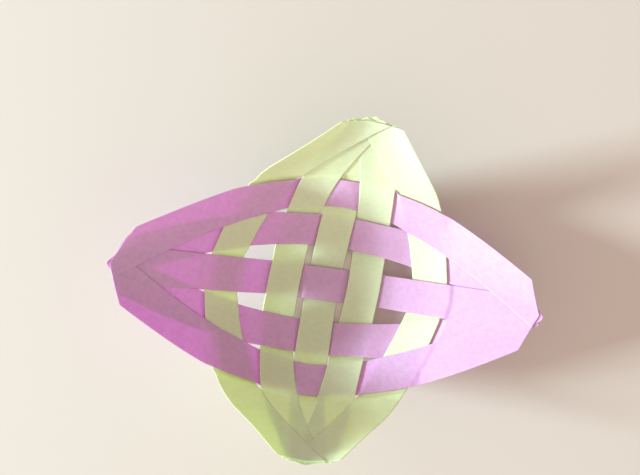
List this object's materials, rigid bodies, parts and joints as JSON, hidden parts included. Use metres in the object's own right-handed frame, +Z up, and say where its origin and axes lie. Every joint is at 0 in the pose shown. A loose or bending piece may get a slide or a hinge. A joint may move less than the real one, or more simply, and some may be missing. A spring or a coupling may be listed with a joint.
{
  "type": "woven paper boat",
  "caption": "Open boat-shaped bowl woven from lilac and green paper strips, their ends gathered and glued into raised prows; holds light small things.",
  "frame": {"origin": "middle of the flat underside of the middle crossing, on the surface the boat rests on", "axes": "+Z up, +X along the lilac strips, +Y up the picture along the green strips"},
  "size_m": [0.204, 0.1468, 0.0662],
  "materials": {
    "lilac_paper": "matt thin paper",
    "green_paper": "matt thin paper"
  },
  "bodies": {
    "root": {"lilac_strip_1": "lilac_paper", "lilac_strip_2": "lilac_paper", "lilac_strip_3": "lilac_paper", "lilac_strip_4": "lilac_paper", "lilac_strip_5": "lilac_paper", "green_strip_1": "green_paper", "green_strip_2": "green_paper", "green_strip_3": "green_paper", "green_strip_4": "green_paper", "green_strip_5": "green_paper"}
  },
  "joints": []
}
